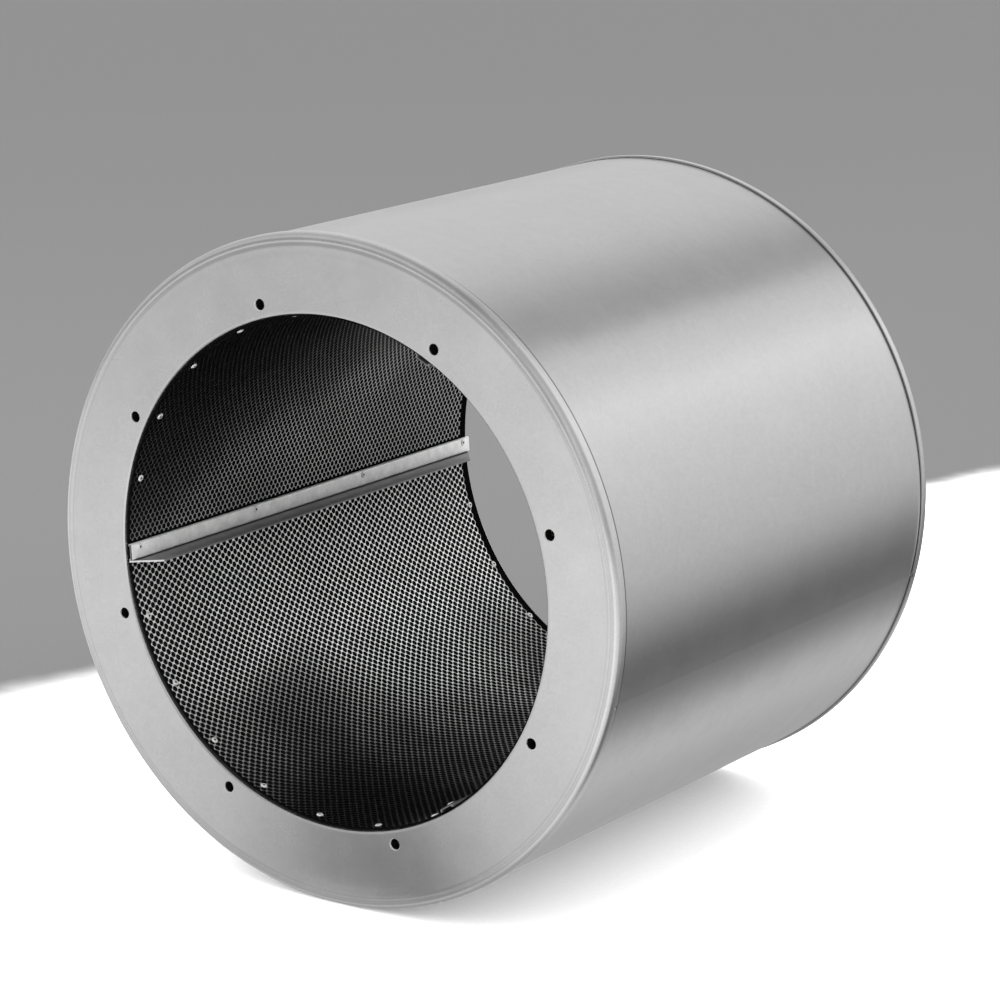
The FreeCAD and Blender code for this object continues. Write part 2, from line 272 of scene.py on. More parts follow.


# Painted light and shade in the airway: painted shade thick at the top near the front and along the bottom, lighter
# where painted patches of reflection brighten the sheet
def paintedAirwayLight(tree, place, airwayPaint):
    spot = separate(tree, place)
    back = maths(tree, "MULTIPLY", maths(tree, "SUBTRACT", spot["Y"], airwayPaint["start"]), airwayPaint["lean"])
    above = maths(tree, "MAXIMUM", maths(tree, "SUBTRACT", spot["Z"], back), 0.0)
    height = maths(tree, "ADD", above, maths(tree, "MINIMUM", spot["Z"], 0.0))
    shadeNoise = maths(tree, "SUBTRACT", noise(tree, place, airwayPaint["shadeNoiseScale"], 4.0), 0.5)
    height = maths(tree, "ADD", height, maths(tree, "MULTIPLY", shadeNoise, airwayPaint["shadeNoise"]))
    litShare = redOf(tree, greyRamp(tree, height, airwayPaint["litShare"], -body["boreRadius"], body["boreRadius"]))
    for centre, reach, change in airwayPaint["paintedPatches"]:
        patchLight = rescale(tree, distanceTo(tree, place, centre), (reach * 0.2, reach), (change, 1.0), "SMOOTHSTEP")
        litShare = maths(tree, "MULTIPLY", litShare, patchLight)
    return maths(tree, "MINIMUM", litShare, 1.0)


# Zinc coated sheet: soft clouding, faint spangle, fine grain, and a satin finish that varies a little
def galvanised(name, look):
    material, tree, shader = newMaterial(name)
    place = addNode(tree, "ShaderNodeTexCoord").outputs["Object"]
    cloud = remap(tree, noise(tree, place, look["cloudScale"], 4.0), 1 - look["cloud"], 1 + look["cloud"])
    grain = remap(tree, noise(tree, place, look["grainScale"], 2.0), 1 - look["grain"], 1 + look["grain"])
    spangle = addNode(tree, "ShaderNodeTexVoronoi", Scale=look["spangleScale"])
    tree.links.new(place, spangle.inputs["Vector"])
    flake = rescale(tree, redOf(tree, spangle.outputs["Color"]), (0, 1), (1 - look["spangle"], 1 + look["spangle"]))
    tone = maths(tree, "MULTIPLY", maths(tree, "MULTIPLY", cloud, grain), flake)
    # painted shade lines, and painted highlight lines where keep is over one
    for direction, at, reach, keep in look.get("paintedLines", ()):
        tone = maths(tree, "MULTIPLY", tone, paintedLightLine(tree, place, direction, at, reach, keep))
    # painted light and shade inside the airway
    if "airwayPaint" in look:
        tone = maths(tree, "MULTIPLY", tone, paintedAirwayLight(tree, place, look["airwayPaint"]))
    tree.links.new(grey(tree, maths(tree, "MULTIPLY", tone, look["tone"])), shader.inputs["Base Color"])
    shader.inputs["Metallic"].default_value = look["metallic"]
    shader.inputs["Specular IOR Level"].default_value = look["specular"]
    satin = remap(tree, noise(tree, place, look["cloudScale"] * 2.3, 3.0),
                  look["roughness"] - look["roughnessSpread"], look["roughness"] + look["roughnessSpread"])
    tree.links.new(satin, shader.inputs["Roughness"])
    if look["stretch"]:
        shader.inputs["Anisotropic"].default_value = look["stretch"]
        shader.inputs["Anisotropic Rotation"].default_value = look["stretchTurn"]
        tangent = addNode(tree, "ShaderNodeTangent", direction_type="RADIAL", axis="Y")
        tree.links.new(tangent.outputs["Tangent"], shader.inputs["Tangent"])
    fine = noise(tree, place, look["fineScale"], 2.0)
    waves = maths(tree, "MULTIPLY", noise(tree, place, look["waveScale"], 1.0), look["wave"])
    addBump(tree, shader, maths(tree, "ADD", fine, waves), look["bump"], look["bumpDepth"])
    return material


tissueLook = {
    "dark": 0.0006, "light": 0.0026, "fibreScale": 700.0, "fibreStretch": (1.0, 0.25, 1.0), "roughness": 0.95,
    "specular": 0.15, "bump": 0.5, "bumpDepth": 0.3 * mm, "bumpScale": 900.0,
}
woolLook = {
    # place on the ramp and colour of the dark and of the light fibres
    "dark": (0.3, (0.20, 0.17, 0.09, 1)), "light": (0.75, (0.62, 0.56, 0.36, 1)), "fibreScale": 260.0,
    "fibreStretch": (1.0, 0.3, 1.0), "roughness": 0.95, "bump": 0.8, "bumpDepth": 2 * mm,
}


# Black glass tissue: matt, with short fibres
def tissueMaterial(look):
    material, tree, shader = newMaterial("black_tissue")
    place = addNode(tree, "ShaderNodeTexCoord").outputs["Object"]
    fibre = noise(tree, place, look["fibreScale"], 4.0, 0.7, look["fibreStretch"])
    tree.links.new(grey(tree, remap(tree, fibre, look["dark"], look["light"])), shader.inputs["Base Color"])
    shader.inputs["Roughness"].default_value = look["roughness"]
    shader.inputs["Specular IOR Level"].default_value = look["specular"]
    addBump(tree, shader, noise(tree, place, look["bumpScale"], 3.0), look["bump"], look["bumpDepth"])
    return material


# Mineral wool: layered yellow-brown fibres
def woolMaterial(look):
    material, tree, shader = newMaterial("mineral_wool")
    place = addNode(tree, "ShaderNodeTexCoord").outputs["Object"]
    fibre = noise(tree, place, look["fibreScale"], 6.0, 0.75, look["fibreStretch"])
    ramp = addNode(tree, "ShaderNodeValToRGB")
    for stop, (at, colour) in zip(ramp.color_ramp.elements, (look["dark"], look["light"])):
        stop.position = at
        stop.color = colour
    tree.links.new(fibre, ramp.inputs["Fac"])
    tree.links.new(ramp.outputs["Color"], shader.inputs["Base Color"])
    shader.inputs["Roughness"].default_value = look["roughness"]
    addBump(tree, shader, fibre, look["bump"], look["bumpDepth"])
    return material


sheetLook = {
    "tone": 0.66, "metallic": 1.0, "cloud": 0.02, "cloudScale": 14.0, "grain": 0.03, "grainScale": 420.0,
    "spangle": 0.012, "spangleScale": 160.0, "roughness": 0.20, "roughnessSpread": 0.03,
    "specular": 0.5, "stretch": 0.75, "stretchTurn": 0.25, "bump": 0.06, "bumpDepth": 0.4 * mm, "fineScale": 900.0,
    "wave": 1.6, "waveScale": 9.0,
}
airwayLightPaint = {
    "start": 0.05, "lean": 0.35, "shadeNoise": 0.05, "shadeNoiseScale": 11.0,
    # height in the airway, and the painted light level of the sheet there: low levels are painted shade
    "litShare": [(-0.198, 0.07), (-0.185, 0.24), (-0.165, 0.60), (-0.14, 0.80), (-0.115, 0.95), (-0.08, 0.95),
              (-0.03, 0.80), (0.0, 0.52), (0.03, 0.22), (0.06, 0.12), (0.10, 0.045), (0.14, 0.012)],
    # centre and reach of a painted patch, and how much brighter (painted reflection) or darker (painted shade) it
    # is than round about
    "paintedPatches": [((-0.182, 0.085, -0.077), 0.10, 1.9), ((-0.120, 0.120, -0.158), 0.10, 0.5),
               ((-0.071, 0.290, -0.185), 0.15, 1.8), ((0.0, 0.050, -0.198), 0.12, 0.1),
               ((0.051, 0.085, -0.191), 0.09, 0.18)],
}
# The casing's two lines are painted shade along the joints at the rims' edges
casingSheet = galvanised("casing_sheet", sheetLook | {"paintedLines": [("back", 13.3 * mm, 0.9 * mm, 0.30),
                                                                 ("back", 455.3 * mm, 0.9 * mm, 0.35)]})
# The flange's lines are painted shade beside the beads and on the rim's shoulder, with a painted highlight at 258.8
# mm
flangeSheet = galvanised("flange_sheet", sheetLook | {
    "tone": 0.70, "cloud": 0.05, "roughness": 0.26, "stretch": 0.0, "wave": 3.0,
    "paintedLines": [("out", 252.6 * mm, 1.2 * mm, 0.90), ("out", 257.0 * mm, 0.9 * mm, 0.90),
              ("out", 258.8 * mm, 1.0 * mm, 1.20), ("out", 261.0 * mm, 0.9 * mm, 0.88)]})
channelSheet = galvanised("channel_sheet", sheetLook | {
    "tone": 0.70, "metallic": 0.45, "cloud": 0.16, "cloudScale": 110.0, "roughness": 0.48, "stretch": 0.0,
    "bump": 0.2})
# Dark copy of the sheet: painted shade on the fin, the two right channels and the channels' ends, with a painted
# shade line under the left channel
paintedShadeSheet = galvanised("painted_shade_sheet", sheetLook | {
    "tone": 0.22, "metallic": 0.7, "cloud": 0.20, "cloudScale": 60.0, "roughness": 0.5, "stretch": 0.0,
    "paintedLines": [("out", 194.4 * mm, 2.4 * mm, 0.15)]})
linerSheet = galvanised("liner_sheet", sheetLook | {
    "tone": 0.86, "metallic": 0.8, "cloud": 0.10, "cloudScale": 30.0, "roughness": 0.34, "stretch": 0.0,
    "bump": 0.1, "airwayPaint": airwayLightPaint})
# Painted shade: a near black, unlit finish on hole walls, the liner's plain borders and laps, and rivet openings
paintedShadeEdge = galvanised("painted_shade_edge", sheetLook | {
    "tone": 0.002, "metallic": 0.0, "specular": 0.0, "cloud": 0.15, "cloudScale": 90.0, "roughness": 0.6,
    "stretch": 0.0})
darkSteel = galvanised("dark_steel", sheetLook | {
    "tone": 0.008, "cloud": 0.15, "cloudScale": 90.0, "roughness": 0.5, "stretch": 0.0})
cutEdge = galvanised("cut_edge", sheetLook | {
    "tone": 0.42, "metallic": 0.4, "cloud": 0.10, "cloudScale": 90.0, "roughness": 0.5, "stretch": 0.0})
rivetZinc = galvanised("rivet_zinc", sheetLook | {
    "tone": 0.60, "metallic": 0.5, "cloud": 0.05, "cloudScale": 90.0, "roughness": 0.40, "stretch": 0.0})
blackTissue = tissueMaterial(tissueLook)
mineralWool = woolMaterial(woolLook)
print("materials ready")


# End rings: flat face with eight holes, rolled rim and collar

ring = {
    "thickness": 1.5 * mm,
    "rimDepth": 10 * mm,
    "rimCorner": 6 * mm,
    "collarDepth": 18 * mm,
    "boreEdge": 1.8 * mm,
    "faceInner": 203.0 * mm,
    "faceOuter": 243.0 * mm,
    "boltCircle": 211 * mm,
    "boltRadius": 4.5 * mm,
    "boltEdge": 0.3 * mm,
    "boltSteps": 40,
    "boltCount": 8,
    "firstBolt": 28.5,
    "notchWidth": 3 * mm,
    "notchDepth": 3 * mm,
    "notchRegion": 12 * mm,
    "steps": 192,
    # radius and height in mm of the soft beads pressed into the face
    "ripples": [(246.0, 0.0), (248.2, 0.09), (250.4, 0.0), (254.2, 0.0), (254.8, 0.22), (255.4, 0.0)],
}


def boltAngles():
    return [ring["firstBolt"] + number * 360 / ring["boltCount"] for number in range(ring["boltCount"])]


# Notch in the rim over the casing's seam
def cutNotch(bm):
    half = ring["notchWidth"] / 2
    seam = math.radians(body["casingSeam"])
    outwards = Vector((math.sin(seam), 0, math.cos(seam)))
    across = Vector((math.cos(seam), 0, -math.sin(seam)))
    floor = ring["rimDepth"] - ring["notchDepth"]
    wallMiddle = body["rimRadius"] - ring["thickness"] / 2

    def nearNotch(point, reach):
        return point.dot(outwards) > body["rimRadius"] - ring["notchRegion"] and abs(point.dot(across)) < reach

    def nearFaces():
        return [face for face in bm.faces if nearNotch(face.calc_center_median(), ring["notchRegion"])]

    for point, normal in ((across * half, across), (across * -half, across), (Vector((0, floor, 0)), axisLine)):
        bmesh.ops.bisect_plane(bm, geom=withParts(nearFaces()), plane_co=point, plane_no=normal, dist=hair / 10)
    inside = [face for face in nearFaces() if face.calc_center_median().y > floor
              and abs(face.calc_center_median().dot(across)) < half]
    bmesh.ops.delete(bm, geom=inside, context="FACES")
    cut = [edge for edge in bm.edges if len(edge.link_faces) == 1
           and nearNotch((edge.verts[0].co + edge.verts[1].co) / 2, ring["notchWidth"])]
    outer = [edge for edge in cut if all(vert.co.xz.length > wallMiddle for vert in edge.verts)]
    inner = [edge for edge in cut if all(vert.co.xz.length < wallMiddle for vert in edge.verts)]
    bmesh.ops.bridge_loops(bm, edges=outer + inner)


# Rounds an open section at (corner number, distance, segments) and revolves it
def revolve(bm, points, rounds):
    before = {*bm.verts, *bm.edges}
    verts, edges = chain(bm, points)
    for number, offset, segments in rounds:
        bmesh.ops.bevel(bm, geom=[verts[number]], offset=offset, offset_type="OFFSET", affect="VERTICES",
                        segments=segments, profile=0.5, material=-1)
    fresh = [item for item in (*bm.verts, *bm.edges) if item not in before]
    spinAll(bm, fresh, 360, ring["steps"], full=True)


# Fills the flat face at one depth between the ring's two parts, round the bolt holes, and returns their loops
def fillFace(bm, along, holeRadius):
    rims = [edge for edge in bm.edges if len(edge.link_faces) == 1
            and all(abs(vert.co.y - along) < weld for vert in edge.verts)
            and all(ring["faceInner"] - mm < vert.co.xz.length < ring["faceOuter"] + mm for vert in edge.verts)]
    centres = [onCircle(ring["boltCircle"], angle, along) for angle in boltAngles()]
    loops = [circleLoop(bm, holeRadius, along, ring["boltSteps"], centre.xz) for centre in centres]
    bmesh.ops.triangle_fill(bm, use_beauty=True, use_dissolve=False,
                            edges=rims + [edge for loop in loops for edge in loop])
    return loops


def endRing(name, rear):
    bm = bmesh.new()
    bore, rim = body["boreRadius"], body["rimRadius"]
    thick = ring["thickness"]
    # Outer part, from the front of the flat face round the rim to the back of the flat face
    ripples = [(radius * mm, height * mm) for radius, height in ring["ripples"]]
    corner = len(ripples) + 1
    revolve(bm, [(ring["faceOuter"], 0), *ripples, (rim, 0), (rim, ring["rimDepth"]),
                 (rim - thick, ring["rimDepth"]), (rim - thick, thick), (ring["faceOuter"], thick)],
            [(corner, ring["rimCorner"], 7), (corner + 3, ring["rimCorner"] - thick, 5)])
    # Inner part, from the back of the flat face round the collar to the front of the flat face
    revolve(bm, [(ring["faceInner"], thick), (bore + thick, thick), (bore + thick, ring["collarDepth"]),
                 (bore, ring["collarDepth"]), (bore, 0), (ring["faceInner"], 0)],
            [(1, ring["boreEdge"] - thick, 3), (4, ring["boreEdge"], 5)])
    bmesh.ops.remove_doubles(bm, verts=bm.verts, dist=weld)
    # Each bolt hole goes from its opened edge to the throat and on to the back
    fronts = fillFace(bm, 0.0, ring["boltRadius"] + ring["boltEdge"])
    backs = fillFace(bm, thick, ring["boltRadius"])
    for angle, front, back in zip(boltAngles(), fronts, backs):
        centre = onCircle(ring["boltCircle"], angle, 0)
        throat = circleLoop(bm, ring["boltRadius"], ring["boltEdge"], ring["boltSteps"], centre.xz)
        for wall in (front + throat, throat + back):
            for face in bmesh.ops.bridge_loops(bm, edges=wall)["faces"]:
                face.material_index = 1
    cutNotch(bm)
    if rear:
        bmesh.ops.scale(bm, vec=(1, -1, 1), verts=bm.verts)
        bmesh.ops.translate(bm, vec=(0, body["length"], 0), verts=bm.verts)
    return finishPiece(name + "_spun", bm, [flangeSheet, cutEdge], (name,), sharpAngle=24)


endRing("front_end_ring", False)
endRing("rear_end_ring", True)
print("end rings ready")


# Casing: one rolled sheet with a butt seam

casing = {
    "outer": 260.2 * mm,
    "inner": 258.95 * mm,
    "start": 6.3 * mm,
    "seamGap": 0.06 * mm,
    "steps": 256,
}


def casingShell():
    bm = bmesh.new()
    rear = body["length"] - casing["start"]
    gap = math.degrees(casing["seamGap"] / casing["outer"])
    section = [(casing["inner"], casing["start"]), (casing["outer"], casing["start"]),
               (casing["outer"], rear), (casing["inner"], rear)]
    sweptStrip(bm, section, body["casingSeam"] + gap / 2, 360 - gap, casing["steps"])
    return finishPiece("casing_shell_rolled", bm, [casingSheet], ("casing_shell",))


casingShell()
print("casing ready")


# Perforated liner: three lapped sheets

liner = {
    "inner": 198.15 * mm,
    "outer": 198.95 * mm,
    "lapShift": 0.85 * mm,
    "front": 4 * mm,
    "rear": 462 * mm,
    "frontBorder": 0.7 * mm,
    "rearBorder": 8 * mm,
    "plainEdge": -2.5 * mm,
    "clearOfSeam": 4.6 * mm,
    "holesFrom": 8.4 * mm,
    "joggle": 1.8 * mm,
    "lapReach": 8 * mm,
    "sheetAngle": 120,
    # each sheet goes from the seam where it starts, clockwise to the next one
    "sheets": {
        "upper": {"seam": "left", "along": 5.53 * mm, "round": 7.81 * mm, "hole": 2.4 * mm},
        "right": {"seam": "top_right", "along": 7.90 * mm, "round": 6.55 * mm, "hole": 2.65 * mm},
        "lower": {"seam": "bottom_right", "along": 7.90 * mm, "round": 6.55 * mm, "hole": 2.65 * mm},
    },
}


def linerDegrees(distance):
    return math.degrees(distance / liner["inner"])


# One hole with the webs to its neighbours: x runs round the airway, y along it and z into it
def holeTile(sheet):
    bm = bmesh.new()
    around, along, radius = sheet["round"], sheet["along"], sheet["hole"]
    close = along < around  # the nearest neighbours lie along the airway, else round it
    angles = [math.radians((0 if close else 30) + 60 * number) for number in range(6)]

    def hexagon(x, y):
        return [bm.verts.new((x + radius * math.cos(angle), y + radius * math.sin(angle), 0)) for angle in angles]

    home = hexagon(0, 0)
    beyond = hexagon(0, along) if close else hexagon(around, 0)
    right, left = hexagon(around / 2, along / 2), hexagon(-around / 2, along / 2)
    if close:
        webs = [(home[2], home[1], beyond[5], beyond[4]), (home[1], home[0], right[4], right[3]),
                (home[3], home[2], left[0], left[5]), (home[1], right[3], beyond[5]), (home[2], beyond[4], left[0])]
    else:
        webs = [(home[0], home[5], beyond[3], beyond[2]), (home[1], home[0], right[4], right[3]),
                (home[2], home[1], left[5], left[4]), (home[0], beyond[2], right[4]), (home[1], right[3], left[5])]
    for web in webs:
        bm.faces.new(web)
    # the hole's wall, which takes the painted shade finish
    walls = [edge for edge in bm.edges if edge.verts[0] in home and edge.verts[1] in home]
    walls += [bm.edges.new(pair) for pair in zip(home, home[1:] + home[:1]) if not bm.edges.get(pair)]
    made = bmesh.ops.extrude_edge_only(bm, edges=walls)
    for wall in pick(made["geom"], bmesh.types.BMFace):
        wall.material_index = 1
    sunk = pick(made["geom"], bmesh.types.BMVert)
    bmesh.ops.translate(bm, vec=(0, 0, liner["inner"] - liner["outer"]), verts=sunk)
    bmesh.ops.delete(bm, geom=[vert for vert in bm.verts if not vert.link_faces], context="VERTS")
    return bm


def copyBy(bm, geom, shift):
    copied = bmesh.ops.duplicate(bm, geom=geom)
    bmesh.ops.translate(bm, vec=shift, verts=pick(copied["geom"], bmesh.types.BMVert))


# Repeats the mesh in doubling steps until it covers the reach with one step to spare at each end
def repeatAlong(bm, direction, step, reach):
    count, wanted = 1, math.ceil(reach / step + 2)
    while count < wanted:
        fresh = min(count, wanted - count)
        geom = wholeMesh(bm) if fresh == count else withParts(
            [face for face in bm.faces if face.calc_center_median().dot(direction) < fresh * step])
        copyBy(bm, geom, direction * step * count)
        count += fresh


def perforatedPatch(sheet):
    bm = holeTile(sheet)
    around, along = sheet["round"], sheet["along"]
    span = math.radians(liner["sheetAngle"]) * liner["inner"] - 2 * liner["holesFrom"]
    depth = liner["rear"] - liner["rearBorder"] - liner["front"] - liner["frontBorder"]
    repeatAlong(bm, Vector((0, 1, 0)), along, depth)
    copyBy(bm, wholeMesh(bm), (around / 2, along / 2, 0))  # the staggered row of holes
    repeatAlong(bm, Vector((1, 0, 0)), around, span)
    bmesh.ops.remove_doubles(bm, verts=bm.verts, dist=2 * weld)
    # Trimmed to the sheet's perforated area, then bent to the airway's radius
    bmesh.ops.translate(bm, vec=(-around, -along, 0), verts=bm.verts)
    for point, normal in (((0, 0, 0), (-1, 0, 0)), ((span, 0, 0), (1, 0, 0)),
                          ((0, 0, 0), (0, -1, 0)), ((0, depth, 0), (0, 1, 0))):
        bmesh.ops.bisect_plane(bm, geom=wholeMesh(bm), dist=hair / 10, plane_co=point, plane_no=normal,
                               clear_outer=True)
    for vert in bm.verts:
        angle = body["seams"][sheet["seam"]] + linerDegrees(liner["holesFrom"] + vert.co.x)
        vert.co = onCircle(liner["inner"] - vert.co.z, angle, liner["front"] + liner["frontBorder"] + vert.co.y)
    return bm


# Plain parts of a sheet: front and rear borders, the near edge, and the joggle with the lap behind the next sheet
def plainEdges(sheet):
    bm = bmesh.new()
    front, rear = liner["front"], liner["rear"]
    inner, outer = liner["inner"], liner["outer"]
    seam, clear, holes = body["seams"][sheet["seam"]], liner["clearOfSeam"], liner["holesFrom"]
    for low, high in ((front, front + liner["frontBorder"]), (rear - liner["rearBorder"], rear)):
        sweptStrip(bm, [(inner, low), (outer, low), (outer, high), (inner, high)], seam + linerDegrees(holes),
                   liner["sheetAngle"] - 2 * linerDegrees(holes), steps=96)
    section = [(inner, front), (outer, front), (outer, rear), (inner, rear)]
    sweptStrip(bm, section, seam + linerDegrees(liner["plainEdge"]), linerDegrees(holes - liner["plainEdge"]),
               steps=4)
    # the far edge: level up to the joggle, then one step out, then the lap
    verts, edges = chain(bm, section, closed=True)
    turnVerts(bm, verts, seam + liner["sheetAngle"] - linerDegrees(holes))
    bm.faces.new(verts)
    level = spinAll(bm, verts + edges, linerDegrees(holes - clear), steps=2)
    made = bmesh.ops.extrude_edge_only(bm, edges=pick(level["geom_last"], bmesh.types.BMEdge))
    stepped = pick(made["geom"], bmesh.types.BMVert)
    turnVerts(bm, stepped, linerDegrees(liner["joggle"]))
    for vert in stepped:
        vert.co += Vector((vert.co.x, 0, vert.co.z)).normalized() * liner["lapShift"]
    ends = [edge for edge in pick(made["geom"], bmesh.types.BMEdge) if all(vert in stepped for vert in edge.verts)]
    swept = spinAll(bm, stepped + ends, linerDegrees(clear - liner["joggle"] + liner["lapReach"]), steps=5)
    bmesh.ops.contextual_create(bm, geom=pick(swept["geom_last"], bmesh.types.BMEdge))
    bmesh.ops.recalc_face_normals(bm, faces=bm.faces)
    # all plain parts take the painted shade finish
    for face in bm.faces:
        face.material_index = 1
    return bm


def linerSheetPiece(name, sheet):
    edges = bpy.data.meshes.new(name + "_edges")
    plain = plainEdges(sheet)
    plain.to_mesh(edges)
    plain.free()
    bm = perforatedPatch(sheet)
    bm.from_mesh(edges)
    bpy.data.meshes.remove(edges)
    print(name, len(bm.faces), "faces")
    return finishPiece(name + "_perforated", bm, [linerSheet, paintedShadeEdge], (name,),
                       sharpAngle=20, doubles=weld, outward=False)


for sheetName, sheet in liner["sheets"].items():
    linerSheetPiece("liner_sheet_" + sheetName, sheet)
print("liner ready")


# Cover channels and fin

channel = {
    "width": 13 * mm, "depth": 3 * mm, "thickness": 1.2 * mm, "bend": 1.6 * mm, "innerBend": 0.4 * mm,
    "seat": 198.04 * mm, "front": 2 * mm, "rear": 464 * mm,
}
fin = {
    "side": 6.55 * mm, "thickness": 1.5 * mm, "width": 24 * mm, "seat": 197.99 * mm, "edge": 0.25 * mm,
    "frontMitre": 14 * mm, "rearMitre": 30 * mm,
}


def seamChannel(name, seam):
    bm = bmesh.new()
    half, top, low = channel["width"] / 2, channel["seat"], channel["seat"] - channel["depth"]
    thick = channel["thickness"]
    outline = [(-half, top), (-half, low), (half, low), (half, top), (half - thick, top),
               (half - thick, low + thick), (-half + thick, low + thick), (-half + thick, top)]
    plate(bm, [(x, channel["front"], z) for x, z in outline], (0, channel["rear"] - channel["front"], 0))
    for side, level, radius in ((half, low, channel["bend"]), (half - thick, low + thick, channel["innerBend"])):
        bends = [edge for edge in bm.edges if all(abs(abs(vert.co.x) - side) < hair
                                                  and abs(vert.co.z - level) < hair for vert in edge.verts)]
        roundEdges(bm, bends, radius, segments=5)
    for face in bm.faces:
        if abs(face.normal.y) > 0.5:
            face.material_index = 1
    turnVerts(bm, bm.verts, seam)
    # the two right channels take the painted shade copy of the sheet
    folded = channelSheet if seam == body["seams"]["left"] else paintedShadeSheet
    return finishPiece(name + "_folded", bm, [folded, paintedShadeSheet], (name,), sharpAngle=35)


def seamFin():
    bm = bmesh.new()
    low = fin["seat"] - fin["width"]
    side = -fin["side"] - fin["thickness"]
    outline = [(fin["seat"], channel["front"]), (low, channel["front"] + fin["frontMitre"]),
               (low, channel["rear"] - fin["rearMitre"]), (fin["seat"], channel["rear"])]
    plate(bm, [(side, along, radius) for radius, along in outline], (fin["thickness"], 0, 0))
    bmesh.ops.recalc_face_normals(bm, faces=bm.faces)
    roundEdges(bm, list(bm.edges), fin["edge"], segments=2)
    for face in bm.faces:
        if face.normal.y < -0.2:
            face.material_index = 1
    turnVerts(bm, bm.verts, body["seams"]["left"])
    return finishPiece("seam_fin_plate", bm, [paintedShadeSheet, cutEdge], ("seam_fin",), sharpAngle=50)


for seamName, seamAngle in body["seams"].items():
    seamChannel("seam_channel_" + seamName, seamAngle)
seamFin()
print("channels and fin ready")


# Weld nuts with a threaded bore, and blind rivets

nut = {
    "acrossFlats": 13 * mm, "height": 6.5 * mm, "threadOuter": 4 * mm, "threadInner": 3.35 * mm, "pitch": 1.25 * mm,
}
rivet = {
    # radius and height in mm, from the open centre to the edge of the head
    "profile": [(0.0, 0.30), (0.80, 0.30), (0.95, 0.80), (1.45, 1.0), (2.2, 0.80), (2.7, 0.35), (2.8, 0.0)],
    "opening": 1.0 * mm, "rowOffset": 12.5 * mm, "places": 22, "side": 3 * mm, "perChannel": 4,
}


def nutSolid(bm, centreAngle, along):
    before = set(bm.verts)
    corner, half = nut["acrossFlats"] / math.sqrt(3), nut["height"] / 2
    made = bmesh.ops.create_cone(bm, cap_ends=False, segments=6, radius1=corner, radius2=corner,
                                 depth=nut["height"])
    turnVerts(bm, made["verts"], 30, "Z")
    # Bore: thread roots and crests in turn
    count = int(nut["height"] / nut["pitch"] * 2)
    levels = [(nut["threadInner"] if number % 2 else nut["threadOuter"], number * nut["pitch"] / 2 - half)
              for number in range(count)]
    lathe(bm, [*levels, (nut["threadOuter"], half)], steps=24)
    bmesh.ops.remove_doubles(bm, verts=[vert for vert in bm.verts if vert not in before], dist=weld)
    fresh = [vert for vert in bm.verts if vert not in before]
    for level in (-half, half):
        rims = dict.fromkeys(edge for vert in fresh for edge in vert.link_edges if len(edge.link_faces) == 1
                             and all(abs(end.co.z - level) < hair for end in edge.verts))
        bmesh.ops.triangle_fill(bm, use_beauty=True, use_dissolve=False, edges=list(rims))
    # The nut's axis is laid along the airway, with a flat toward it
    turnVerts(bm, fresh, 90, "X")
    turnVerts(bm, fresh, 30)
    bmesh.ops.translate(bm, vec=(0, along, ring["boltCircle"]), verts=fresh)
    turnVerts(bm, fresh, centreAngle)


def nutSet(name, along):
    bm = bmesh.new()
    for angle in boltAngles():
        nutSolid(bm, angle, along)
    return finishPiece(name + "_threaded", bm, [darkSteel], (name,), sharpAngle=35)


# Rivet head on a seat at a radius from the axis, with its open centre toward the axis
def rivetHead(bm, seat, angle, along, side=0.0):
    before = set(bm.verts)
    lathe(bm, [(radius * mm, -height * mm) for radius, height in rivet["profile"]], steps=18)
    fresh = [vert for vert in bm.verts if vert not in before]
    # the open centre takes the painted shade finish
    for face in dict.fromkeys(face for vert in fresh for face in vert.link_faces):
        if all(vert.co.xy.length < rivet["opening"] for vert in face.verts):
            face.material_index = 1
    bmesh.ops.translate(bm, vec=(side, along, seat), verts=fresh)
    turnVerts(bm, fresh, angle)


def rivetSets():
    seamTurn = math.degrees(math.asin(rivet["side"] / body["boreRadius"]))
    pitch = 360 / rivet["places"]
    rows = {"front": rivet["rowOffset"], "rear": body["length"] - rivet["rowOffset"]}
    for end, along in rows.items():
        bm = bmesh.new()
        for number in range(1, rivet["places"]):
            rivetHead(bm, liner["inner"], body["seams"]["left"] + seamTurn + number * pitch, along)
        finishPiece(end + "_liner_rivets", bm, [rivetZinc, paintedShadeEdge], (), sharpAngle=50)
    bm = bmesh.new()
    span = rows["rear"] - rows["front"]
    for seamAngle in body["seams"].values():
        for number in range(rivet["perChannel"]):
            along = rows["front"] + number * span / (rivet["perChannel"] - 1)
            rivetHead(bm, channel["seat"] - channel["depth"], seamAngle, along, rivet["side"])
    finishPiece("channel_rivets", bm, [rivetZinc, paintedShadeEdge], (), sharpAngle=50)


nutSet("front_weld_nuts", ring["thickness"] + nut["height"] / 2)
nutSet("rear_weld_nuts", body["length"] - ring["thickness"] - nut["height"] / 2)
rivetSets()
print("fasteners ready")


# Finishes of the CAD nodes that stay

for nodeName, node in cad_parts.items():
    if nodeName.startswith("tissue"):
        finish = blackTissue
    elif nodeName.startswith("wool"):
        finish = mineralWool
    else:
        finish = casingSheet
    node.data.materials.clear()
    node.data.materials.append(finish)


# Studio: white floor that fades to grey behind, soft light, and a sheen that only the metal sees

